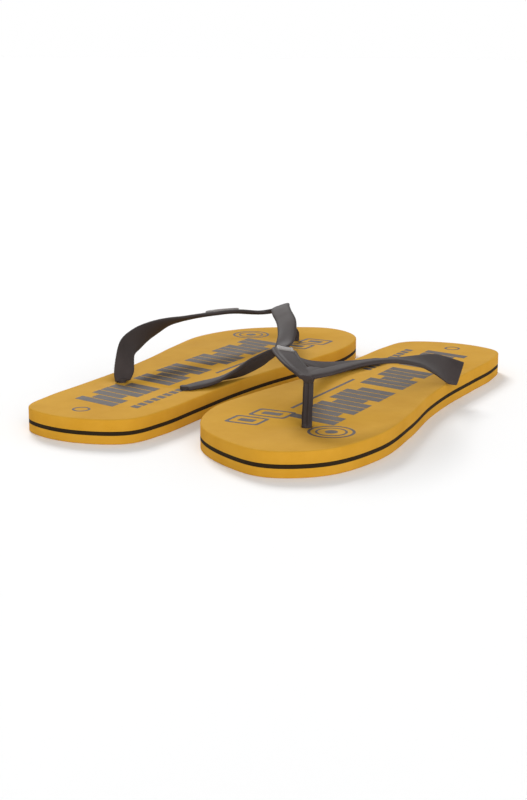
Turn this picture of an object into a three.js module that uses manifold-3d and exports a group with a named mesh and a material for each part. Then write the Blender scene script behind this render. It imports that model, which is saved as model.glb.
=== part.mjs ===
// A pair of flip flops: three bonded foam layers per sole, a rubber strap moulded in one piece and a strap badge.
// Millimetres, +Z up. X runs along the soles and the ground is z = 0.
// Each shoe is drawn in its own frame first: x from heel to toe, y towards the big-toe (medial) side.

import * as THREE from 'three';
import { mergeVertices } from 'three/addons/utils/BufferGeometryUtils.js';
import Module from 'manifold-3d';

const wasm = await Module();
wasm.setup();

// Where each shoe stands: centre of its sole, heading, and which way its medial side points (+1 is +y).
const LEFT = { name: 'left', x: 5.66, y: 50.8, heading: 0, medial: -1 };
const RIGHT = { name: 'right', x: -5.74, y: -54.9, heading: 180.5, medial: 1 };

// Sole outline, anticlockwise for the right shoe from the back of the heel.
const SOLE_OUTLINE = [
  [-143.8, -1], [-133, 29.5], [-109.5, 35.6], [-73.6, 35.9], [-34.4, 35.8], [1, 38.3], [42.5, 44.5],
  [89, 47.2], [126, 36], [141.3, 12], [133.6, -13], [112, -39.5], [77.7, -52], [40, -49.3], [1, -43],
  [-39, -38.9], [-78.6, -37.4], [-110, -36.5], [-134, -31],
];
const OUTLINE_STEPS = 96;

// Layers from the ground up. Bonded faces keep a hair of clearance.
const CLEARANCE = 0.3;
const OUTSOLE_TOP = 4.6;
const MIDSOLE_TOP = 6.7;
const FOOTBED_TOP = 13;

// Holes that hold the strap: one between the toes and one on each side of the instep.
const TOE_HOLE = { x: 92, y: 9.5 };
const SIDE_HOLE = { x: -62, y: 20.5 };
const STEM_RADIUS = 2.5;
const HOLE_RADIUS = STEM_RADIUS + CLEARANCE;
const HOLE_STEPS = 20;
const TUBE_STEPS = 8;

// Mushroom plugs under the sole, sunk into recesses.
const PLUG_RADIUS = 8.5;
const PLUG_BOTTOM = 0.4;
const PLUG_TOP = 1.8;
const PLUG_CHAMFER = 0.6;
const RECESS_RADIUS = PLUG_RADIUS + CLEARANCE;
const RECESS_DEPTH = 2.1;
const RECESS_STEPS = 32;

// Strap band section: a rounded oblong, thickness along its normal.
const BAND_THICKNESS = 2.6;
const BAND_SIDES = 12;
const BAND_STEPS = 40;
const WEB_STEPS = 6;
const BAND_SQUARENESS = 0.5;

// Toe post: it starts just above the footbed, rises straight for a little, then leans to the yoke.
const POST_FOOT = FOOTBED_TOP + 0.6;
const POST_STRAIGHT = FOOTBED_TOP + 5;
const POST_LEAN = 0.6;
const POST_STEPS = 10;
const NECK_STEPS = 8;
const TOE_STEM_TOP = FOOTBED_TOP + 1;

// Thickening where both legs and the toe post meet, and how high the side stems reach into the band.
const YOKE_RADIUS = 3.6;
const YOKE_FLATNESS = 0.5;
const YOKE_ROWS = 10;
const SIDE_STEM_TOP = 15.4;

// Strap badge: a blank raised oblong on the outer leg.
const BADGE_THICKNESS = 1.2;
const BADGE_WIDTH = 0.62;
const BADGE_STEPS = 8;

// Each leg runs from the yoke above the toe post to its side hole, and a short web fills the fork between them.
// A station is the centre of the band, the direction across it, and its width.
const LEFT_STRAP = {
  yoke: [85, 4, 33.2],
  badge: [0.182, 0.279],
  outerLeg: [
    { at: [87, 4, 33.4], across: [0.1, -0.98, -0.2], width: 9 },
    { at: [72, -4.5, 32.9], across: [0.47, -0.87, -0.14], width: 10 },
    { at: [55, -13, 35.4], across: [0.4, -0.9, -0.18], width: 11 },
    { at: [36.9, -19.9, 36.2], across: [0.32, -0.93, -0.18], width: 12 },
    { at: [7.6, -27.3, 35.9], across: [0.14, -0.89, -0.44], width: 12.7 },
    { at: [-6.3, -28.6, 35.4], across: [0.1, -0.64, -0.77], width: 12.9 },
    { at: [-19.2, -29.1, 34], across: [0.18, -0.33, -0.93], width: 13.1 },
    { at: [-33.1, -28.6, 32], across: [0.37, -0, -0.93], width: 14 },
    { at: [-46, -26.8, 29], across: [0.65, 0.2, -0.75], width: 14 },
    { at: [-54.5, -23.2, 23], across: [0.85, 0.35, -0.3], width: 13 },
    { at: [-59, -20.9, 17.5], across: [0.87, 0.48, -0.05], width: 12.5 },
    { at: [-61.5, -20, 14.2], across: [0.87, 0.5, 0], width: 9.5 },
  ],
  innerLeg: [
    { at: [87, 4, 33.6], across: [-0.1, 0.98, 0.2], width: 9 },
    { at: [75, 7.8, 36.9], across: [0.44, 0.83, 0.33], width: 12 },
    { at: [60.5, 16.2, 36.6], across: [0.44, 0.83, 0.28], width: 12 },
    { at: [43.5, 28.5, 33.4], across: [0.44, 0.83, 0.22], width: 12 },
    { at: [26.5, 36.9, 27.3], across: [0.3, 0.95, 0.08], width: 10.8 },
    { at: [11.3, 40.2, 23.2], across: [0.2, 0.82, 0.54], width: 11.9 },
    { at: [-3.9, 38.8, 21.5], across: [0.01, 0.48, 0.88], width: 11.8 },
    { at: [-20, 36.5, 19.4], across: [-0.08, 0.5, 0.85], width: 12.5 },
    { at: [-36, 33, 17.2], across: [-0.1, 0.8, 0.5], width: 12.5 },
    { at: [-50, 28, 15.2], across: [-0.2, 0.97, 0.12], width: 12 },
    { at: [-62.5, 21.2, 14.6], across: [-0.35, 0.93, 0], width: 7.5 },
  ],
  web: [
    { at: [88, 4, 33.5], across: [0, 1, 0.1], width: 7 },
    { at: [80, 3, 34], across: [0, 1, 0.2], width: 9 },
    { at: [71, 0.5, 34], across: [0.1, 1, 0.25], width: 6 },
  ],
};
const RIGHT_STRAP = {
  yoke: [91.5, 10, 37.3],
  badge: [0.264, 0.413],
  outerLeg: [
    { at: [93.2, 10, 38.2], across: [0.2, -0.97, 0], width: 8.5 },
    { at: [83, -1, 40.4], across: [0.5, -0.82, 0.2], width: 12.5 },
    { at: [68, -13.5, 41.8], across: [0.4, -0.88, 0.15], width: 13.5 },
    { at: [52, -23.5, 41], across: [0.3, -0.93, 0.12], width: 13.5 },
    { at: [38, -28.5, 36.4], across: [0.2, -0.88, 0.35], width: 13 },
    { at: [20, -31, 29], across: [0.1, -0.83, 0.5], width: 13 },
    { at: [-5, -32, 21], across: [0, -0.9, 0.4], width: 13 },
    { at: [-30, -30, 16.8], across: [0, -0.97, 0.18], width: 13 },
    { at: [-48, -25.8, 15.4], across: [0.1, -1, 0.06], width: 12.5 },
    { at: [-65, -20, 14.6], across: [0.25, -0.97, 0], width: 9 },
  ],
  innerLeg: [
    { at: [93.2, 10, 38.2], across: [-0.2, 0.97, 0], width: 8.5 },
    { at: [81, 16.5, 39.6], across: [0.45, 0.88, 0.02], width: 11 },
    { at: [62, 25, 40.6], across: [0.5, 0.86, 0.14], width: 10 },
    { at: [42, 31, 39], across: [0.3, 0.95, 0.08], width: 10.5 },
    { at: [17.9, 34, 34.3], across: [0.11, 0.96, -0.24], width: 12.2 },
    { at: [-6.2, 33.9, 28.1], across: [0.21, 0.78, -0.59], width: 15.2 },
    { at: [-26.2, 33.4, 22.8], across: [0.48, 0.51, -0.71], width: 17.7 },
    { at: [-38, 35, 18.7], across: [0.76, 0.29, -0.58], width: 19.8 },
    { at: [-41.8, 39.6, 16.9], across: [0.85, 0.11, -0.51], width: 18.9 },
  ],
  web: [
    { at: [94.5, 9.8, 38], across: [0, 1, 0], width: 7 },
    { at: [87, 7.5, 38.8], across: [0.05, 1, 0], width: 11 },
    { at: [78, 7.3, 39.1], across: [0.1, 1, 0.05], width: 10 },
  ],
  // This inner leg bulges out over the sole's edge, so a curved neck brings it back to its hole.
  neck: [[-62, 20.5, 14], [-59.5, 22.5, 17], [-50, 29, 19], [-39, 34, 19]],
};

const foam = new THREE.MeshStandardMaterial({ color: 0xd7a549, roughness: 0.85 });
const darkFoam = new THREE.MeshStandardMaterial({ color: 0x392e1c, roughness: 0.85 });
const rubber = new THREE.MeshStandardMaterial({ color: 0x45413f, roughness: 0.5 });
const badgeRubber = new THREE.MeshStandardMaterial({ color: 0x56524f, roughness: 0.35 });

// A point given as [x, y towards the medial side, z], in this shoe's own coordinates.
function shoePoint(shoe, [x, y, z]) {
  return new THREE.Vector3(x, y * shoe.medial, z);
}

function curveThrough(points, closed = false) {
  return new THREE.CatmullRomCurve3(points, closed, 'centripetal');
}

// Closed geometry to a manifold solid, with vertices closer than this made one, and back.
const SAME_POINT = 1e-3;

function solid(geometry) {
  const bare = geometry.index ? geometry : geometry.clone();
  bare.deleteAttribute('normal');
  bare.deleteAttribute('uv');
  const merged = mergeVertices(bare, SAME_POINT);
  const vertProperties = new Float32Array(merged.attributes.position.array);
  const triVerts = new Uint32Array(merged.index.array);
  return new wasm.Manifold(new wasm.Mesh({ numProp: 3, vertProperties, triVerts }));
}

function geometryOf(manifold) {
  const mesh = manifold.getMesh();
  const geometry = new THREE.BufferGeometry();
  geometry.setAttribute('position', new THREE.BufferAttribute(mesh.vertProperties, 3));
  geometry.setIndex(new THREE.BufferAttribute(mesh.triVerts, 1));
  geometry.computeVertexNormals();
  return geometry;
}

function holes(shoe) {
  return [
    { x: TOE_HOLE.x, y: TOE_HOLE.y * shoe.medial },
    { x: SIDE_HOLE.x, y: SIDE_HOLE.y },
    { x: SIDE_HOLE.x, y: -SIDE_HOLE.y },
  ];
}

// One foam layer: the sole outline with its three holes, between two heights.
function layer(shoe, bottom, top) {
  const rim = SOLE_OUTLINE.map(([x, y]) => shoePoint(shoe, [x, y, 0]));
  const outline = curveThrough(rim, true).getPoints(OUTLINE_STEPS).slice(0, -1);
  const shape = new THREE.Shape(outline.map((p) => new THREE.Vector2(p.x, p.y)));
  for (const hole of holes(shoe)) {
    const circle = new THREE.Path();
    circle.absarc(hole.x, hole.y, HOLE_RADIUS, 0, Math.PI * 2);
    shape.holes.push(circle);
  }
  const geometry = new THREE.ExtrudeGeometry(shape, {
    depth: top - bottom,
    bevelEnabled: false,
    curveSegments: HOLE_STEPS,
  });
  return geometry.translate(0, 0, bottom);
}

// The outsole is a layer with a round recess under each hole.
function outsole(shoe) {
  let body = solid(layer(shoe, 0, OUTSOLE_TOP));
  for (const hole of holes(shoe)) {
    const recess = new THREE.CylinderGeometry(RECESS_RADIUS, RECESS_RADIUS, 2 * RECESS_DEPTH, RECESS_STEPS);
    recess.rotateX(Math.PI / 2).translate(hole.x, hole.y, 0);
    body = body.subtract(solid(recess));
  }
  return geometryOf(body);
}

// Plug and stem in one turned profile, from under the sole up to the given height.
function plug(x, y, top) {
  const profile = [
    [0, PLUG_BOTTOM], [PLUG_RADIUS, PLUG_BOTTOM],
    [PLUG_RADIUS, PLUG_TOP - PLUG_CHAMFER], [PLUG_RADIUS - PLUG_CHAMFER, PLUG_TOP],
    [STEM_RADIUS, PLUG_TOP], [STEM_RADIUS, top], [0, top],
  ];
  const turned = new THREE.LatheGeometry(profile.map(([r, z]) => new THREE.Vector2(r, z)), HOLE_STEPS);
  return turned.rotateX(Math.PI / 2).translate(x, y, 0);
}

function tube(points, radius, steps) {
  const section = new THREE.Shape();
  section.absarc(0, 0, radius, 0, Math.PI * 2);
  return new THREE.ExtrudeGeometry(section, {
    steps,
    curveSegments: TUBE_STEPS,
    extrudePath: curveThrough(points),
  });
}

// A band along a leg, made by bending a closed cylinder: its axis follows the leg and its round section is
// squared off into a rounded oblong. `from` and `to` are fractions of the leg, and `lift` moves it along the
// band's normal.
function band(shoe, leg, options = {}) {
  const { from = 0, to = 1, width = 1, thickness = BAND_THICKNESS, lift = 0, steps = BAND_STEPS } = options;
  const path = curveThrough(leg.map((station) => shoePoint(shoe, station.at)));
  const across = curveThrough(leg.map((station) => shoePoint(shoe, station.across).setLength(station.width / 2)));
  const geometry = new THREE.CylinderGeometry(1, 1, 1, BAND_SIDES, steps);
  const position = geometry.attributes.position;
  const vertex = new THREE.Vector3();
  for (let i = 0; i < position.count; i += 1) {
    vertex.fromBufferAttribute(position, i);
    const t = from + (to - from) * (vertex.y + 0.5);
    const side = across.getPoint(t);
    const normal = side.clone().cross(path.getTangent(t)).normalize();
    const u = width * Math.sign(vertex.x) * Math.abs(vertex.x) ** BAND_SQUARENESS;
    const v = (thickness / 2) * Math.sign(vertex.z) * Math.abs(vertex.z) ** BAND_SQUARENESS;
    const point = path.getPoint(t).addScaledVector(side, u).addScaledVector(normal, v + lift);
    position.setXYZ(i, point.x, point.y, point.z);
  }
  return geometry;
}

// The whole strap is one moulding: two legs, the web between them, the toe post, the yoke above it and a plug
// at each hole.
function strap(shoe, design) {
  const [toe, ...sides] = holes(shoe);
  const yoke = shoePoint(shoe, design.yoke);
  const foot = new THREE.Vector3(toe.x, toe.y, POST_FOOT);
  const post = [foot, foot.clone().setZ(POST_STRAIGHT), foot.clone().lerp(yoke, POST_LEAN), yoke];
  const boss = new THREE.SphereGeometry(YOKE_RADIUS, HOLE_STEPS, YOKE_ROWS).scale(1, 1, YOKE_FLATNESS);
  const pieces = [
    band(shoe, design.outerLeg),
    band(shoe, design.innerLeg),
    band(shoe, design.web, { steps: WEB_STEPS }),
    tube(post, STEM_RADIUS, POST_STEPS),
    boss.translate(yoke.x, yoke.y, yoke.z),
    plug(toe.x, toe.y, TOE_STEM_TOP),
    ...sides.map((hole) => plug(hole.x, hole.y, SIDE_STEM_TOP)),
  ];
  if (design.neck) {
    pieces.push(tube(design.neck.map((point) => shoePoint(shoe, point)), STEM_RADIUS, NECK_STEPS));
  }
  return geometryOf(pieces.map(solid).reduce((sum, piece) => sum.add(piece)));
}

// The badge is a short, narrow band of its own that lies on top of the outer leg.
function badge(shoe, design) {
  const [from, to] = design.badge;
  const lift = -shoe.medial * (BAND_THICKNESS / 2 + CLEARANCE + BADGE_THICKNESS / 2);
  const width = BADGE_WIDTH;
  const thickness = BADGE_THICKNESS;
  const steps = BADGE_STEPS;
  return band(shoe, design.outerLeg, { from, to, width, thickness, lift, steps });
}

function named(name, geometry, material) {
  const mesh = new THREE.Mesh(geometry, material);
  mesh.name = name;
  return mesh;
}

function flipFlop(shoe, design) {
  const group = new THREE.Group();
  group.add(
    named(`${shoe.name}_outsole`, outsole(shoe), foam),
    named(`${shoe.name}_midsole`, layer(shoe, OUTSOLE_TOP + CLEARANCE, MIDSOLE_TOP), darkFoam),
    named(`${shoe.name}_footbed`, layer(shoe, MIDSOLE_TOP + CLEARANCE, FOOTBED_TOP), foam),
    named(`${shoe.name}_strap`, strap(shoe, design), rubber),
    named(`${shoe.name}_badge`, badge(shoe, design), badgeRubber),
  );
  group.position.set(shoe.x, shoe.y, 0);
  group.rotation.z = THREE.MathUtils.degToRad(shoe.heading);
  return group;
}

const pair = new THREE.Group();
pair.add(flipFlop(LEFT, LEFT_STRAP), flipFlop(RIGHT, RIGHT_STRAP));

export default pair;
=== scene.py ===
"""A pair of yellow foam flip flops with dark rubber straps, on a pale studio floor."""

import math

import bmesh
import bpy
import numpy as np
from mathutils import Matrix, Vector


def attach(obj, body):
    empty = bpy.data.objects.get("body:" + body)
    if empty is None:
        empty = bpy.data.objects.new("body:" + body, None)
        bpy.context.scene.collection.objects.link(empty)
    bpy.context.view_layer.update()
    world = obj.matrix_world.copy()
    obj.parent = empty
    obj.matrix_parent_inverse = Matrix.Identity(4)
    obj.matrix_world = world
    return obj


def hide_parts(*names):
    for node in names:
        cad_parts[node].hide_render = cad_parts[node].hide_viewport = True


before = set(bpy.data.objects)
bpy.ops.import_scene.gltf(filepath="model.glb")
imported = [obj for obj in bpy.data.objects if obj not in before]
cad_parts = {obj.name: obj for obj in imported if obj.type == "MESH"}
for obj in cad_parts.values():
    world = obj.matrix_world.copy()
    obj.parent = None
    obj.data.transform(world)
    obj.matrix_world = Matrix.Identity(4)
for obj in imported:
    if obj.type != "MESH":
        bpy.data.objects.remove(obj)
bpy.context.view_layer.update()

MM = 0.001

# Where each shoe stands, in mm and degrees. medial is the side its big toe is on: +1 is towards its own +y.
LEFT = {"name": "left", "at": (5.66, 50.8), "heading": 0.0, "medial": -1}
RIGHT = {"name": "right", "at": (-5.74, -54.9), "heading": 180.5, "medial": 1}

# The sole's outline, clockwise from the back of the heel, with y towards the medial side.
SOLE_OUTLINE = [
    (-143.8, -1), (-133, 29.5), (-109.5, 35.6), (-73.6, 35.9), (-34.4, 35.8), (1, 38.3), (42.5, 44.5),
    (89, 47.2), (126, 36), (141.3, 12), (133.6, -13), (112, -39.5), (77.7, -52), (40, -49.3), (1, -43),
    (-39, -38.9), (-78.6, -37.4), (-110, -36.5), (-134, -31),
]
OUTLINE_SAMPLES = 24
OUTLINE_SMOOTHING = 3
OUTLINE_POINTS = 320

# The foam layers, from the ground up, and how far their edges are rounded.
OUTSOLE_TOP = 4.6
MIDSOLE_TOP = 6.7
FOOTBED_TOP = 13.0
GROUND_ROUND = 0.5
BONDED_ROUND = 0.12
TOP_ROUND = 1.0
ROUND_STEPS = 5
FACE_MARGIN = 0.5
WALL_HOLLOW = 0.06
STEEPEST_FACE = 0.6

# The holes that hold the strap, and the recess under each one.
TOE_HOLE = (92, 9.5)
SIDE_HOLE = (-62, 20.5)
HOLE_RADIUS = 2.8
HOLE_POINTS = 32
HOLE_LIP = 0.35
RECESS_RADIUS = 8.8
RECESS_DEPTH = 2.1

# The strap's stems and mushroom plugs.
STEM_RADIUS = 2.5
TOE_STEM_TOP = FOOTBED_TOP + 1
SIDE_STEM_TOP = FOOTBED_TOP + 2.2
PLUG_RADIUS = 8.5
PLUG_BOTTOM = 0.4
PLUG_TOP = 1.8
PLUG_POINTS = 40
AXIS_RADIUS = 1e-3
# (radius, height) up the plug, from its eased lower edge to the small chamfer at the stem's foot.
PLUG_PROFILE = [
    (PLUG_RADIUS - 0.8, PLUG_BOTTOM),
    (PLUG_RADIUS - 0.2, PLUG_BOTTOM + 0.3),
    (PLUG_RADIUS, PLUG_BOTTOM + 0.8),
    (PLUG_RADIUS - 0.7, PLUG_TOP),
    (STEM_RADIUS + 0.4, PLUG_TOP),
    (STEM_RADIUS, PLUG_TOP + 0.5),
]

# The ribbed toe post, from the footbed to just under the yoke.
POST_RADIUS = 2.75
POST_RIB_DEPTH = 1.7
POST_RIB_COUNT = 6
POST_POINTS = 72
POST_SAMPLES = 12
POST_FOOT = FOOTBED_TOP + 0.6
POST_STRAIGHT = FOOTBED_TOP + 5
POST_LEAN = 0.6
POST_DROP = 0.8
POST_SIDE = (0.3, 1.0, 0.1)

# The flattened ball where the legs and the toe post meet.
YOKE_RADIUS = 2.9
YOKE_HALF_HEIGHT = 1.8
YOKE_DROP = 0.6
YOKE_ROWS = 14
YOKE_POINTS = 28

# The band's section: rounded edges, a crowned face, and a groove inside each edge.
BAND_THICKNESS = 2.6
BAND_SAMPLES = 18
SECTION_POINTS = 112
EDGE_ROUNDNESS = 0.55
FACE_ROUNDNESS = 0.75
GROOVE_DEPTH = 0.45
GROOVE_AT = 0.7
GROOVE_WIDTH = 0.09

# How the strap's parts are fused: the grain of the fused skin, and how often it is smoothed.
VOXEL = 0.36
SOFTEN_FACTOR = 0.5
SOFTEN_TIMES = 3

# The badge: half its section as (across, up), where 1 across is its edge, and how it sits on the band.
BADGE_SECTION = [(0, 1.0), (0.74, 0.95), (0.8, 1.2), (0.93, 1.2), (1, 0.8), (1, 0)]
BADGE_WIDTH = 0.62
BADGE_SINK = 0.25
BADGE_END_HEIGHT = 0.8
BADGE_ROUND = 0.25
BADGE_ROUND_STEPS = 3
BADGE_ROUND_ABOVE = 35

# Each leg of a strap, from the yoke to its hole: the band's centre, the direction across it, and its width.
LEFT_STRAP = {
    "yoke": (85, 4, 33.2),
    "badge": (35, 55),
    "outer": [
        ((87, 4, 33.4), (0.1, -0.98, -0.2), 9),
        ((72, -4.5, 32.9), (0.47, -0.87, -0.14), 10),
        ((55, -13, 35.4), (0.4, -0.9, -0.18), 11),
        ((36.9, -19.9, 36.2), (0.32, -0.93, -0.18), 12),
        ((7.6, -27.3, 36.1), (0.14, -0.89, -0.44), 12.4),
        ((-6.3, -28.6, 35.1), (0.1, -0.64, -0.77), 12.9),
        ((-19.2, -29.1, 34), (0.18, -0.33, -0.93), 13.1),
        ((-33.1, -28.6, 32), (0.37, -0, -0.93), 14),
        ((-46, -26.8, 29), (0.65, 0.2, -0.75), 14),
        ((-54.5, -23.2, 23), (0.85, 0.35, -0.3), 13),
        ((-59, -20.9, 17.5), (0.87, 0.48, -0.05), 12.5),
        ((-61.5, -20, 13.4), (0.87, 0.5, 0), 9.5),
    ],
    "inner": [
        ((87, 4, 33.6), (-0.1, 0.98, 0.2), 9),
        ((75, 7.8, 36.9), (0.44, 0.83, 0.33), 12),
        ((60.5, 16.2, 36.6), (0.44, 0.83, 0.28), 12),
        ((43.5, 28.5, 33.4), (0.44, 0.83, 0.22), 12),
        ((26.5, 36.9, 27.3), (0.3, 0.95, 0.08), 10.8),
        ((11.3, 40.2, 23.2), (0.2, 0.82, 0.54), 11.9),
        ((-3.9, 38.8, 21.5), (0.01, 0.48, 0.88), 11.8),
        ((-20, 36.5, 19.4), (-0.08, 0.5, 0.85), 12.5),
        ((-36, 33, 17.2), (-0.1, 0.8, 0.5), 12.5),
        ((-50, 28, 15.2), (-0.2, 0.97, 0.12), 12),
        ((-62.5, 21.2, 13.7), (-0.35, 0.93, 0), 7.5),
    ],
    "web": [
        ((88, 4, 33.5), (0, 1, 0.1), 7),
        ((80, 3, 34), (0, 1, 0.2), 9),
        ((71, 0.5, 34), (0.1, 1, 0.25), 6),
    ],
    "neck": None,
}
RIGHT_STRAP = {
    "yoke": (91.5, 10, 37.3),
    "badge": (42, 62),
    "outer": [
        ((93.2, 10, 38.2), (0.2, -0.97, 0), 8.5),
        ((83, -1, 40.4), (0.5, -0.82, 0.2), 12.5),
        ((68, -13.5, 41.8), (0.4, -0.88, 0.15), 13.5),
        ((52, -23.5, 41), (0.3, -0.93, 0.12), 13.5),
        ((38, -28.5, 36.4), (0.2, -0.88, 0.35), 13),
        ((20, -31, 29), (0.1, -0.83, 0.5), 13),
        ((-5, -32, 21), (0, -0.9, 0.4), 13),
        ((-30, -30, 16.8), (0, -0.97, 0.18), 13),
        ((-48, -25.8, 15.4), (0.1, -1, 0.06), 12.5),
        ((-65, -20, 14.6), (0.25, -0.97, 0), 9),
    ],
    "inner": [
        ((93.2, 10, 38.2), (-0.2, 0.97, 0), 8.5),
        ((81, 16.5, 39.6), (0.45, 0.88, 0.02), 11),
        ((62, 25, 40.6), (0.5, 0.86, 0.14), 10),
        ((42, 31, 39), (0.3, 0.95, 0.08), 10.5),
        ((17.9, 34, 34.3), (0.11, 0.96, -0.24), 12.2),
        ((-6.2, 33.9, 28.1), (0.21, 0.78, -0.59), 15.2),
        ((-26.2, 33.4, 22.8), (0.48, 0.51, -0.71), 17.7),
        ((-38, 35, 18.7), (0.76, 0.29, -0.58), 19.8),
        ((-41.8, 39.6, 16.9), (0.85, 0.11, -0.51), 18.9),
    ],
    "web": [
        ((94.5, 9.8, 38), (0, 1, 0), 7),
        ((87, 7.5, 38.8), (0.05, 1, 0), 11),
        ((78, 7.3, 39.1), (0.1, 1, 0.05), 10),
    ],
    "neck": [(-62, 20.5, 14), (-59.5, 22.5, 17), (-50, 29, 19), (-39, 34, 19)],
}


# ---------------------------------------------------------------- curves

def curve_through(points, samples, closed=False):
    """Points on a centripetal Catmull-Rom curve: `samples` to a span, and an open curve's last point."""
    p = np.array(points, float)
    if closed:
        p = np.vstack([p[-1], p, p[:2]])
    else:
        p = np.vstack([2 * p[0] - p[1], p, 2 * p[-1] - p[-2]])
    out = []
    for i in range(len(p) - 3):
        a, b, c, d = p[i:i + 4]
        k0, k1, k2 = (max(np.linalg.norm(v) ** 0.5, 1e-6) for v in (b - a, c - b, d - c))
        m1 = ((b - a) / k0 - (c - a) / (k0 + k1) + (c - b) / k1) * k1
        m2 = ((c - b) / k1 - (d - b) / (k1 + k2) + (d - c) / k2) * k1
        for t in np.arange(samples) / samples:
            out.append(b + m1 * t + (3 * (c - b) - 2 * m1 - m2) * t ** 2 + (2 * (b - c) + m1 + m2) * t ** 3)
    if not closed:
        out.append(p[-2])
    return np.array(out)


def smooth_loop(points, times):
    """A closed loop of points, each moved towards the mean of its neighbours."""
    p = points.copy()
    for _ in range(times):
        p = 0.5 * p + 0.25 * (np.roll(p, 1, axis=0) + np.roll(p, -1, axis=0))
    return p


def even_loop(points, count):
    """`count` points evenly spaced along a closed loop."""
    ring = np.vstack([points, points[:1]])
    run = np.r_[0, np.cumsum(np.linalg.norm(np.diff(ring, axis=0), axis=1))]
    at = np.linspace(0, run[-1], count, endpoint=False)
    return np.stack([np.interp(at, run, ring[:, k]) for k in range(points.shape[1])], axis=1)


def turns(count):
    """Angles evenly spaced round a full turn."""
    return np.linspace(0, 2 * math.pi, count, endpoint=False)


def signed_power(value, power):
    return math.copysign(abs(value) ** power, value)


# ---------------------------------------------------------------- meshes

def in_row(shoe, points):
    """Points of a shoe, in mm with y towards its medial side, as row coordinates in metres."""
    p = np.array(points, float)
    y = p[:, 1] * shoe["medial"]
    turn = math.radians(shoe["heading"])
    x, y = math.cos(turn) * p[:, 0] - math.sin(turn) * y, math.sin(turn) * p[:, 0] + math.cos(turn) * y
    return np.stack([x + shoe["at"][0], y + shoe["at"][1], p[:, 2]], axis=1) * MM


def linked(mesh):
    """A new object in the scene with this mesh, under the mesh's name."""
    piece = bpy.data.objects.new(mesh.name, mesh)
    bpy.context.collection.objects.link(piece)
    return piece


def shade_smooth(mesh, smooth=True):
    for polygon in mesh.polygons:
        polygon.use_smooth = smooth


def mesh_object(name, verts, faces, material):
    mesh = bpy.data.meshes.new(name)
    mesh.from_pydata([tuple(v) for v in verts], [], faces)
    mesh.materials.append(material)
    bm = bmesh.new()
    bm.from_mesh(mesh)
    bmesh.ops.recalc_face_normals(bm, faces=bm.faces)
    bm.to_mesh(mesh)
    bm.free()
    shade_smooth(mesh)
    return linked(mesh)


def strip(low, high, count):
    """Quads between two closed rows of `count` vertices, which start at the numbers low and high."""
    quads = []
    for i in range(count):
        j = (i + 1) % count
        quads.append((low + i, low + j, high + j, high + i))
    return quads


def stack(rows):
    """Vertices and faces of a closed solid over rows of points, each row as long as the others."""
    n = len(rows[0])
    faces = []
    for k in range(len(rows) - 1):
        faces += strip(k * n, (k + 1) * n, n)
    last = (len(rows) - 1) * n
    faces.append(tuple(range(n)))
    faces.append(tuple(range(last, last + n)))
    return [vertex for row in rows for vertex in row], faces


# ---------------------------------------------------------------- soles

def sole_rim():
    rim = curve_through([(x, y, 0) for x, y in SOLE_OUTLINE], OUTLINE_SAMPLES, closed=True)
    return smooth_loop(even_loop(rim, OUTLINE_POINTS), OUTLINE_SMOOTHING)[:, :2]


def offset_rim(rim, inset):
    """The rim moved inwards by `inset` mm."""
    ahead = np.roll(rim, -1, axis=0) - np.roll(rim, 1, axis=0)
    ahead /= np.linalg.norm(ahead, axis=1)[:, None]
    outward = np.stack([ahead[:, 1], -ahead[:, 0]], axis=1)
    if np.sum(outward * (rim - rim.mean(axis=0))) < 0:
        outward = -outward
    return rim - outward * inset


def circle(centre, radius):
    a = turns(HOLE_POINTS)
    return np.stack([centre[0] + radius * np.cos(a), centre[1] + radius * np.sin(a)], axis=1)


def outer_side_hole():
    return (SIDE_HOLE[0], -SIDE_HOLE[1])


def wall_profile(bottom, top, low_round, high_round):
    """(inset, height) up a layer's wall: rounded at both edges and slightly hollow between them."""
    angles = [math.pi / 2 * k / (ROUND_STEPS - 1) for k in range(ROUND_STEPS)]
    profile = [(low_round + FACE_MARGIN, bottom)]
    for a in angles:
        profile.append((low_round * (1 - math.sin(a)), bottom + low_round * (1 - math.cos(a))))
    profile.append((WALL_HOLLOW, (bottom + top) / 2))
    for a in angles:
        profile.append((high_round * (1 - math.cos(a)), top - high_round * (1 - math.sin(a))))
    profile.append((high_round + FACE_MARGIN, top))
    return profile


def bore_profile(bottom, top, recessed):
    """(radius, height) up a hole, from the plug's recess if the layer has one."""
    profile = [(HOLE_RADIUS, bottom)]
    if recessed:
        ledge = bottom + RECESS_DEPTH
        profile = [(RECESS_RADIUS + HOLE_LIP, bottom), (RECESS_RADIUS, bottom + HOLE_LIP),
                   (RECESS_RADIUS, ledge), (HOLE_RADIUS, ledge)]
    return [*profile, (HOLE_RADIUS, top - HOLE_LIP), (HOLE_RADIUS + HOLE_LIP, top)]


def add_ring(bm, shoe, points, z):
    """A closed row of new vertices at one height."""
    xyz = np.column_stack([points, np.full(len(points), z)])
    return [bm.verts.new(v) for v in in_row(shoe, xyz)]


def add_walls(bm, rings):
    """Faces between each ring and the next."""
    for lower, upper in zip(rings, rings[1:]):
        for i in range(len(lower)):
            j = (i + 1) % len(lower)
            bm.faces.new((lower[i], lower[j], upper[j], upper[i]))


def add_cap(bm, loops):
    """A flat face inside the first loop, with the others as holes in it."""
    edges = []
    for loop in loops:
        for i in range(len(loop)):
            ends = (loop[i], loop[(i + 1) % len(loop)])
            edges.append(bm.edges.get(ends) or bm.edges.new(ends))
    bmesh.ops.triangle_fill(bm, use_beauty=True, use_dissolve=False, edges=edges)


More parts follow.
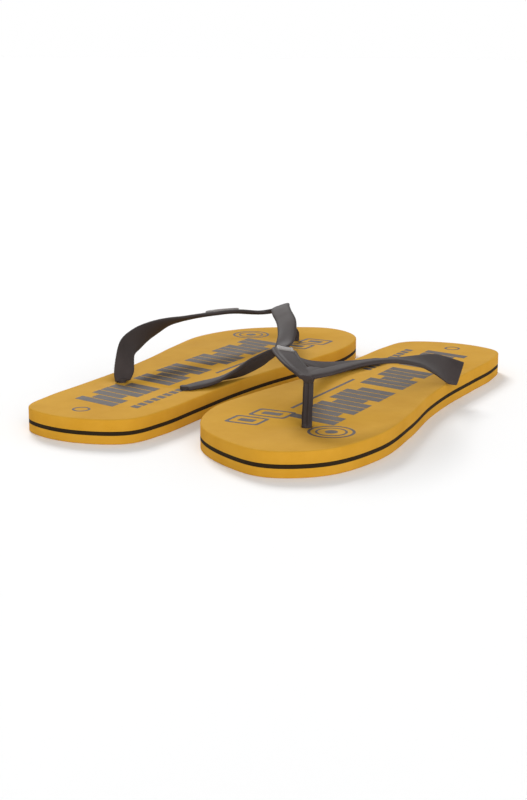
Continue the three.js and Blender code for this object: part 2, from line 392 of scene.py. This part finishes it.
def foam_mesh(shoe, name, layer):
    """A layer between two heights, with a hole for each strap stem."""
    bottom, top = layer["heights"]
    bm = bmesh.new()
    rim = sole_rim()
    profile = wall_profile(bottom, top, *layer["rounding"])
    rings = [add_ring(bm, shoe, offset_rim(rim, inset), z) for inset, z in profile]
    add_walls(bm, rings)
    low_loops, high_loops = [rings[0]], [rings[-1]]
    for centre in (TOE_HOLE, SIDE_HOLE, outer_side_hole()):
        spec = bore_profile(bottom, top, layer["recessed"])
        bores = [add_ring(bm, shoe, circle(centre, radius), z) for radius, z in spec]
        add_walls(bm, bores)
        low_loops.append(bores[0])
        high_loops.append(bores[-1])
    add_cap(bm, low_loops)
    add_cap(bm, high_loops)
    bmesh.ops.recalc_face_normals(bm, faces=bm.faces)
    mesh = bpy.data.meshes.new(name)
    bm.to_mesh(mesh)
    bm.free()
    return mesh


def foam_layer(shoe, layer):
    """One foam layer, with one finish on its faces and another on its wall."""
    mesh = foam_mesh(shoe, f"{shoe['name']}_{layer['part']}_foam", layer)
    mesh.materials.append(layer["face"])
    mesh.materials.append(layer["wall"])
    shade_smooth(mesh)
    for polygon in mesh.polygons:
        polygon.material_index = int(abs(polygon.normal.z) < STEEPEST_FACE)
    return linked(mesh)


# ---------------------------------------------------------------- print

# The print is drawn with x towards the toe and y to the left of it, and is the same way round on both shoes.
INK_HEIGHT = 0.05
LOOP_POINTS = 64
ROUND, SQUARE = 1.0, 0.22

BAR_FIRST, BAR_LAST, BAR_PITCH, BAR_WIDTH = -112, 84, 8.0, 7.0
BAR_SLANT = 0.22
BAR_SPANS = [(-8, 20), (-8, 14), (-2, 20), (-8, 20)]
BAR_GAPS = (6, 13)
LINE_ENDS, LINE_SPAN = (-14, 64), (-15.5, -13.6)
DASH_FIRST, DASH_COUNT, DASH_PITCH, DASH_LENGTH = -106, 11, 6.2, 4.4
DASH_SPAN = (-21.5, -16.3)

TARGET = (95.5, 24.5)
HEEL_RING = (-126, 3)
NEAR_FRAME = (76, -18)
FAR_FRAME = (94, -23)
OUTLINES = [
    # centre, radii along and across the sole, line width, squareness
    (TARGET, (11.8, 11.8), 1.5, ROUND),
    (TARGET, (8.0, 8.0), 1.2, ROUND),
    (NEAR_FRAME, (7.6, 10.5), 1.8, SQUARE),
    (FAR_FRAME, (7.6, 9.5), 1.8, SQUARE),
    (HEEL_RING, (4.8, 4.8), 1.3, ROUND),
]
SOLID_SPOTS = [
    # centre, radii along and across the sole, squareness
    (TARGET, (3.2, 3.2), ROUND),
    (NEAR_FRAME, (2.6, 5.5), SQUARE),
    (FAR_FRAME, (2.6, 4.5), SQUARE),
]


def oval(centre, radii, squareness):
    """An oval loop; a squareness under 1 squares it off."""
    a = turns(LOOP_POINTS)
    x = np.sign(np.cos(a)) * np.abs(np.cos(a)) ** squareness
    y = np.sign(np.sin(a)) * np.abs(np.sin(a)) ** squareness
    return np.stack([centre[0] + radii[0] * x, centre[1] + radii[1] * y], axis=1)


def bar(start, end, low, high):
    """A slanted bar from start to end along the sole, low to high across it."""
    return np.array([(start + BAR_SLANT * low, low), (end + BAR_SLANT * low, low),
                     (end + BAR_SLANT * high, high), (start + BAR_SLANT * high, high)])


def bars():
    """Rows of slanted bars, with a gap now and then."""
    shapes = []
    for k in range(int((BAR_LAST - BAR_FIRST) / BAR_PITCH)):
        if k not in BAR_GAPS:
            start = BAR_FIRST + k * BAR_PITCH
            shapes.append([bar(start, start + BAR_WIDTH, *BAR_SPANS[k % len(BAR_SPANS)])])
    return shapes


def dashes():
    shapes = []
    for k in range(DASH_COUNT):
        start = DASH_FIRST + DASH_PITCH * k
        shapes.append([bar(start, start + DASH_LENGTH, *DASH_SPAN)])
    return shapes


def outlines():
    shapes = []
    for centre, radii, line, squareness in OUTLINES:
        inside = [radius - line for radius in radii]
        shapes.append([oval(centre, radii, squareness), oval(centre, inside, squareness)])
    return shapes


def print_shapes():
    """Each printed shape as its outer loop, and its inner loop if it has one."""
    line = [[bar(*LINE_ENDS, *LINE_SPAN)]]
    spots = [[oval(*spot)] for spot in SOLID_SPOTS]
    return bars() + line + dashes() + outlines() + spots


def add_plate(verts, faces, loops):
    """A thin plate inside the first loop, with the second one as a hole."""
    first, n = len(verts), len(loops[0])
    for z in (FOOTBED_TOP - INK_HEIGHT, FOOTBED_TOP + INK_HEIGHT):
        for loop in loops:
            verts += [(x, y, z) for x, y in loop]
    over = first + len(loops) * n
    for k in range(len(loops)):
        faces += strip(first + k * n, over + k * n, n)
    for base in (first, over):
        if len(loops) == 1:
            faces.append(tuple(range(base, base + n)))
        else:
            faces += strip(base, base + n, n)


def footbed_print(shoe, material):
    """The ink on the footbed, a skin too thin to feel: plain bars, dashes, frames and rings."""
    verts, faces = [], []
    for loops in print_shapes():
        add_plate(verts, faces, loops)
    unmirrored = [(x, y * shoe["medial"], z) for x, y, z in verts]
    piece = mesh_object(f"{shoe['name']}_footbed_print", in_row(shoe, unmirrored), faces, material)
    shade_smooth(piece.data, False)
    return piece


# ---------------------------------------------------------------- strap

def band_frames(shoe, leg):
    """Centres, half-width vectors and unit normals along a leg, in row metres."""
    centres = in_row(shoe, curve_through([at for at, _, _ in leg], BAND_SAMPLES))
    halves = []
    for _, across, width in leg:
        across = np.array(across, float)
        halves.append(across / np.linalg.norm(across) * width / 2)
    origin = in_row(shoe, np.zeros((1, 3)))
    sides = in_row(shoe, curve_through(halves, BAND_SAMPLES)) - origin
    normals = np.cross(sides, np.gradient(centres, axis=0)) * -shoe["medial"]
    normals /= np.linalg.norm(normals, axis=1)[:, None]
    return centres, sides, normals


def band_section():
    """(across, up) of the moulded band, where 1 across is its edge and up is in mm."""
    section = []
    for a in turns(SECTION_POINTS):
        u = signed_power(math.cos(a), EDGE_ROUNDNESS)
        v = signed_power(math.sin(a), FACE_ROUNDNESS) * BAND_THICKNESS / 2
        if v > 0:
            v -= GROOVE_DEPTH * math.exp(-(((abs(u) - GROOVE_AT) / GROOVE_WIDTH) ** 2))
        section.append((u, v))
    return section


def swept(name, frames, section, material):
    """A closed solid with this section along these frames."""
    rows = [[c + s * u + m * v * MM for u, v in section] for c, s, m in zip(*frames)]
    return mesh_object(name, *stack(rows), material)


def leg_solid(shoe, leg, name, material):
    return swept(name, band_frames(shoe, leg), band_section(), material)


def post_solid(shoe, points, radius, rib_depth, name, material):
    """A round bar along points, with moulded ribs along it."""
    path = in_row(shoe, curve_through(points, POST_SAMPLES))
    along = np.gradient(path, axis=0)
    along /= np.linalg.norm(along, axis=1)[:, None]
    side = np.cross(along, np.array(POST_SIDE))
    side /= np.linalg.norm(side, axis=1)[:, None]
    section = []
    for a in turns(POST_POINTS):
        r = radius + rib_depth * (math.cos(POST_RIB_COUNT * a) - 1) / 2
        section.append((r * math.cos(a), r * math.sin(a)))
    return swept(name, (path, side * MM, np.cross(side, along)), section, material)


def turned(shoe, centre, profile, points, name, material):
    """A closed solid of (radius, height) points turned about an upright axis."""
    rows = []
    for r, z in profile:
        row = []
        for k in range(points):
            a = 2 * math.pi * k / points
            row.append((centre[0] + r * math.cos(a), centre[1] + r * math.sin(a), z))
        rows.append(row)
    verts, faces = stack(rows)
    return mesh_object(name, in_row(shoe, verts), faces, material)


def plug_solid(shoe, centre, top, name, material):
    """The mushroom plug under the sole and the stem that goes up through it."""
    profile = [(AXIS_RADIUS, PLUG_BOTTOM), *PLUG_PROFILE, (STEM_RADIUS, top), (AXIS_RADIUS, top)]
    return turned(shoe, centre, profile, PLUG_POINTS, name, material)


def yoke_solid(shoe, centre, name, material):
    """A flattened ball where the legs and the toe post meet."""
    profile = []
    for row in range(YOKE_ROWS + 1):
        latitude = -math.pi / 2 + math.pi * row / YOKE_ROWS
        radius = max(math.cos(latitude), AXIS_RADIUS) * YOKE_RADIUS
        profile.append((radius, centre[2] - YOKE_DROP + YOKE_HALF_HEIGHT * math.sin(latitude)))
    return turned(shoe, centre, profile, YOKE_POINTS, name, material)


def strap_parts(shoe, design, material):
    """The strap's legs, web, post, yoke, plugs and neck, as solids that run into each other."""
    foot = (*TOE_HOLE, POST_FOOT)
    top = np.array(design["yoke"]) - (0, 0, POST_DROP)
    leaning = tuple(np.array(foot) * (1 - POST_LEAN) + top * POST_LEAN)
    post = [foot, (*TOE_HOLE, POST_STRAIGHT), leaning, tuple(top)]
    parts = [
        leg_solid(shoe, design["outer"], "outer", material),
        leg_solid(shoe, design["inner"], "inner", material),
        leg_solid(shoe, design["web"], "web", material),
        post_solid(shoe, post, POST_RADIUS, POST_RIB_DEPTH, "post", material),
        yoke_solid(shoe, design["yoke"], "yoke", material),
        plug_solid(shoe, TOE_HOLE, TOE_STEM_TOP, "toe_plug", material),
        plug_solid(shoe, SIDE_HOLE, SIDE_STEM_TOP, "inner_plug", material),
        plug_solid(shoe, outer_side_hole(), SIDE_STEM_TOP, "outer_plug", material),
    ]
    if design["neck"]:
        parts.append(post_solid(shoe, design["neck"], STEM_RADIUS, 0, "neck", material))
    return parts


def gathered(name, parts):
    """One mesh that holds all the parts' faces; the parts themselves are removed."""
    bm = bmesh.new()
    for part in parts:
        bm.from_mesh(part.data)
        bpy.data.objects.remove(part)
    mesh = bpy.data.meshes.new(name)
    bm.to_mesh(mesh)
    bm.free()
    return mesh


def fuse(piece):
    """Parts that overlap become one skin, and its joins are softened, as rubber leaves a mould."""
    remesh = piece.modifiers.new("fuse", "REMESH")
    remesh.mode = "VOXEL"
    remesh.voxel_size = VOXEL * MM
    remesh.use_smooth_shade = True
    soften = piece.modifiers.new("soften", "SMOOTH")
    soften.factor = SOFTEN_FACTOR
    soften.iterations = SOFTEN_TIMES
    graph = bpy.context.evaluated_depsgraph_get()
    mesh = bpy.data.meshes.new_from_object(piece.evaluated_get(graph))
    piece.modifiers.clear()
    piece.data = mesh


def strap(shoe, design, material):
    """The whole moulding in one piece."""
    mesh = gathered(f"{shoe['name']}_strap_rubber", strap_parts(shoe, design, material))
    mesh.materials.append(material)
    piece = linked(mesh)
    fuse(piece)
    return piece


def badge_rows(shoe, design):
    """Points across the badge at each frame of the outer leg that it covers."""
    centres, sides, normals = band_frames(shoe, design["outer"])
    along = curve_through([at for at, _, _ in design["outer"]], BAND_SAMPLES)[:, 0]
    start, end = design["badge"]
    covered = [k for k in range(len(along)) if start <= along[k] <= end]
    section = [(-u, v) for u, v in reversed(BADGE_SECTION[1:])] + BADGE_SECTION
    base = BAND_THICKNESS / 2 - BADGE_SINK
    rows = []
    for k in covered:
        height = BADGE_END_HEIGHT if k in (covered[0], covered[-1]) else 1.0
        rows.append([centres[k] + sides[k] * u * BADGE_WIDTH + normals[k] * (base + v * height) * MM
                     for u, v in section])
    return rows


def badge(shoe, design, material):
    """A raised blank oblong on the outer leg, with a rim along it."""
    verts, faces = stack(badge_rows(shoe, design))
    piece = mesh_object(f"{shoe['name']}_badge_plate", verts, faces, material)
    bevel = piece.modifiers.new("round", "BEVEL")
    bevel.width = BADGE_ROUND * MM
    bevel.segments = BADGE_ROUND_STEPS
    bevel.limit_method = "ANGLE"
    bevel.angle_limit = math.radians(BADGE_ROUND_ABOVE)
    return piece


# ---------------------------------------------------------------- materials

def new_material(name, roughness):
    material = bpy.data.materials.new(name)
    material.use_nodes = True
    shader = material.node_tree.nodes["Principled BSDF"]
    shader.inputs["Roughness"].default_value = roughness
    return material, material.node_tree, shader


def node(tree, kind, **settings):
    made = tree.nodes.new(kind)
    for key, value in settings.items():
        if key in made.inputs:
            made.inputs[key].default_value = value
        else:
            setattr(made, key, value)
    return made


def grey(value):
    return (value, value, value, 1)


def linear(r, g, b):
    """An sRGB colour, 0 to 255, as linear RGBA."""
    def channel(c):
        c /= 255
        return c / 12.92 if c <= 0.04045 else ((c + 0.055) / 1.055) ** 2.4
    return (channel(r), channel(g), channel(b), 1)


def ramp(tree, fac, low, high):
    """A colour ramp driven by `fac` between two (position, colour) stops."""
    made = tree.nodes.new("ShaderNodeValToRGB")
    for element, (position, colour) in zip(made.color_ramp.elements, (low, high)):
        element.position = position
        element.color = colour
    tree.links.new(fac, made.inputs["Fac"])
    return made


def on_object(tree, *textures):
    """Lay textures out in the object's own coordinates."""
    place = node(tree, "ShaderNodeTexCoord")
    for texture in textures:
        tree.links.new(place.outputs["Object"], texture.inputs["Vector"])


def clouded(tree, shader, noise, low, high):
    """A base colour that drifts between two (position, colour) stops with the noise."""
    colour = ramp(tree, noise.outputs["Fac"], low, high)
    tree.links.new(colour.outputs["Color"], shader.inputs["Base Color"])


def raised(tree, shader, height, strength, distance):
    """Fine relief from a texture's output."""
    bump = node(tree, "ShaderNodeBump", Strength=strength, Distance=distance)
    tree.links.new(height, bump.inputs["Height"])
    tree.links.new(bump.outputs["Normal"], shader.inputs["Normal"])


def foam_material(name, light, dark, roughness):
    """Closed-cell foam: fine cells in relief and a slight drift of colour."""
    material, tree, shader = new_material(name, roughness)
    shader.inputs["Specular IOR Level"].default_value = 0.1
    drift = node(tree, "ShaderNodeTexNoise", Scale=45.0, Detail=5.0, Roughness=0.6)
    cells = node(tree, "ShaderNodeTexVoronoi", Scale=1500.0)
    grain = node(tree, "ShaderNodeTexNoise", Scale=2600.0, Detail=2.0)
    on_object(tree, drift, cells, grain)
    clouded(tree, shader, drift, (0.3, dark), (0.7, light))
    height = node(tree, "ShaderNodeMath", operation="ADD")
    tree.links.new(cells.outputs["Distance"], height.inputs[0])
    tree.links.new(grain.outputs["Fac"], height.inputs[1])
    raised(tree, shader, height.outputs["Value"], strength=0.35, distance=0.00012)
    return material


def ink_material(name, light, dark, roughness):
    """Screen ink worn thin on the foam: cloudy, with fine pores."""
    material, tree, shader = new_material(name, roughness)
    wear = node(tree, "ShaderNodeTexNoise", Scale=220.0, Detail=8.0, Roughness=0.7)
    pores = node(tree, "ShaderNodeTexVoronoi", Scale=1500.0)
    on_object(tree, wear, pores)
    clouded(tree, shader, wear, (0.35, dark), (0.66, light))
    raised(tree, shader, pores.outputs["Distance"], strength=0.3, distance=0.00012)
    return material


def rubber_material(name, light, dark, roughness):
    """Moulded rubber: a soft satin skin with a faint orange peel and cloudy dust."""
    material, tree, shader = new_material(name, roughness)
    shader.inputs["Specular IOR Level"].default_value = 0.08
    cloud = node(tree, "ShaderNodeTexNoise", Scale=60.0, Detail=6.0, Roughness=0.65)
    peel = node(tree, "ShaderNodeTexNoise", Scale=1100.0, Detail=3.0)
    on_object(tree, cloud, peel)
    clouded(tree, shader, cloud, (0.3, dark), (0.7, light))
    gloss = ramp(tree, cloud.outputs["Fac"], (0.3, grey(roughness - 0.06)), (0.7, grey(roughness + 0.08)))
    tree.links.new(gloss.outputs["Color"], shader.inputs["Roughness"])
    raised(tree, shader, peel.outputs["Fac"], strength=0.25, distance=0.0001)
    return material


# ---------------------------------------------------------------- assembly

yellow = foam_material("yellow_foam", linear(204, 155, 55), linear(195, 145, 46), roughness=0.88)
yellow_edge = foam_material("yellow_foam_edge", linear(206, 153, 50), linear(197, 143, 38), roughness=0.85)
dark_foam = foam_material("dark_foam", linear(50, 39, 22), linear(38, 29, 16), roughness=0.85)
rubber = rubber_material("strap_rubber", linear(69, 62, 61), linear(57, 51, 50), roughness=0.62)
# The badge's pale grey is partly real rubber and partly a painted highlight: it is lighter than the strap so
# that the glossy plate shows as a bright patch.
badge_rubber = rubber_material("badge_rubber", linear(146, 142, 139), linear(126, 121, 119), roughness=0.32)
ink = ink_material("footbed_ink", linear(80, 70, 64), linear(62, 55, 51), roughness=0.75)

LAYERS = [
    {
        "part": "outsole", "heights": (0.0, OUTSOLE_TOP), "rounding": (GROUND_ROUND, BONDED_ROUND),
        "face": yellow, "wall": yellow_edge, "recessed": True, "slot": "foam_yellow",
    },
    {
        "part": "midsole", "heights": (OUTSOLE_TOP, MIDSOLE_TOP), "rounding": (BONDED_ROUND, BONDED_ROUND),
        "face": dark_foam, "wall": dark_foam, "recessed": False, "slot": "foam_dark",
    },
    {
        "part": "footbed", "heights": (MIDSOLE_TOP, FOOTBED_TOP), "rounding": (BONDED_ROUND, TOP_ROUND),
        "face": yellow, "wall": yellow_edge, "recessed": False, "slot": "foam_yellow",
    },
]


def settle(piece, shoe, stands_for=None):
    """Put a piece on its shoe's body, in place of the CAD node it stands for."""
    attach(piece, f"{shoe['name']}_flip_flop")
    if stands_for:
        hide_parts(f"{shoe['name']}_{stands_for}")


def build_shoe(shoe, design):
    for layer in LAYERS:
        piece = foam_layer(shoe, layer)
        settle(piece, shoe, layer["part"])
    settle(footbed_print(shoe, ink), shoe)
    settle(strap(shoe, design, rubber), shoe, "strap")
    settle(badge(shoe, design, badge_rubber), shoe, "badge")


build_shoe(LEFT, LEFT_STRAP)
build_shoe(RIGHT, RIGHT_STRAP)


# ---------------------------------------------------------------- studio

CAMERA_AT = (-0.7266, -0.3796, 0.1933)
CAMERA_HEADING = 28.3
CAMERA_PITCH = 13.35
CAMERA_LENS = 66.3
CAMERA_SENSOR = 36

FLOOR_REACH = 30
FLOOR_DARK, FLOOR_LIGHT = 0.92, 0.94

# The world's light overhead, and the sines of the elevations where the white wall ends and that light begins.
SKY_STRENGTH = 0.46
WALL_TOP = 0.16
SKY_FROM = 0.34

# The suns: heading, elevation and spread are in degrees.
BACK_LIGHT = {"heading": CAMERA_HEADING + 15, "elevation": 35, "strength": 1.95, "spread": 20}
FRONT_FILL = {"heading": CAMERA_HEADING + 195, "elevation": 26, "strength": 1.55, "spread": 50}


def add_camera():
    data = bpy.data.cameras.new("camera")
    data.lens = CAMERA_LENS
    data.sensor_width = CAMERA_SENSOR
    camera = bpy.data.objects.new("camera", data)
    camera.location = CAMERA_AT
    camera.rotation_euler = (math.radians(90 - CAMERA_PITCH), 0, math.radians(CAMERA_HEADING - 90))
    bpy.context.collection.objects.link(camera)
    bpy.context.scene.camera = camera


def add_floor():
    material, tree, shader = new_material("studio_floor", 0.9)
    mottle = node(tree, "ShaderNodeTexNoise", Scale=3.0, Detail=2.0)
    on_object(tree, mottle)
    clouded(tree, shader, mottle, (0.3, grey(FLOOR_DARK)), (0.7, grey(FLOOR_LIGHT)))
    r = FLOOR_REACH
    corners = [(-r, -r, 0), (r, -r, 0), (r, r, 0), (-r, r, 0)]
    mesh_object("studio_floor", corners, [(0, 1, 2, 3)], material)


def add_sun(name, heading, elevation, strength, spread):
    """A broad soft source far away, so that the whole floor gets the same light."""
    data = bpy.data.lights.new(name, "SUN")
    data.energy = strength
    data.angle = math.radians(spread)
    light = bpy.data.objects.new(name, data)
    azimuth, height = math.radians(heading), math.radians(elevation)
    flat = math.cos(height)
    towards = Vector((flat * math.cos(azimuth), flat * math.sin(azimuth), math.sin(height)))
    light.rotation_euler = towards.to_track_quat("Z", "Y").to_euler()
    bpy.context.collection.objects.link(light)


def add_world():
    """Even light from all round, and white near the horizon, as a lit studio wall is."""
    world = bpy.data.worlds.new("studio")
    world.use_nodes = True
    tree = world.node_tree
    place = node(tree, "ShaderNodeTexCoord")
    direction = node(tree, "ShaderNodeSeparateXYZ")
    tree.links.new(place.outputs["Generated"], direction.inputs["Vector"])
    sky = ramp(tree, direction.outputs["Z"], (WALL_TOP, grey(1)), (SKY_FROM, grey(SKY_STRENGTH)))
    tree.links.new(sky.outputs["Color"], tree.nodes["Background"].inputs["Color"])
    bpy.context.scene.world = world


add_camera()
add_floor()
add_world()
add_sun("back_light", **BACK_LIGHT)
add_sun("front_fill", **FRONT_FILL)
bpy.context.scene.view_settings.view_transform = "Standard"
